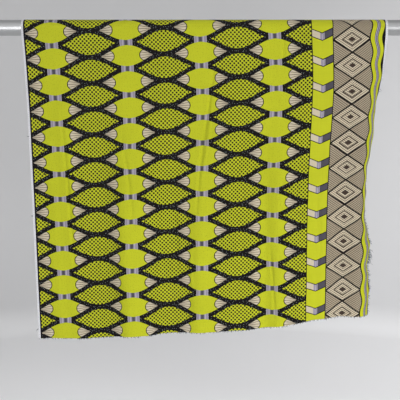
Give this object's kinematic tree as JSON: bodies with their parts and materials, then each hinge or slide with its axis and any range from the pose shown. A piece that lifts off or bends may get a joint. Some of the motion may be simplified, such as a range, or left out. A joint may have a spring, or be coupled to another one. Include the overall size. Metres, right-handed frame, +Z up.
{
  "type": "kanga wrap cloth on a rod",
  "caption": "Printed cotton wrap cloth hung over a round metal rod: a long front fall, a shorter back fall and a right selvedge that curls back.",
  "frame": {"origin": "on the rod's axis, halfway along the rod, where the rod is held", "axes": "+X along the rod to the right as seen from the front, +Y to the back, +Z up; the front fall hangs on the -Y side"},
  "size_m": [1.4, 0.1226, 1.0608],
  "materials": {
    "printed_cotton": "matt printed cotton",
    "rod_steel": "satin"
  },
  "bodies": {
    "root": {"rod": "rod_steel", "over_rod": "printed_cotton", "front_fall": "printed_cotton", "back_fall": "printed_cotton"}
  },
  "joints": []
}
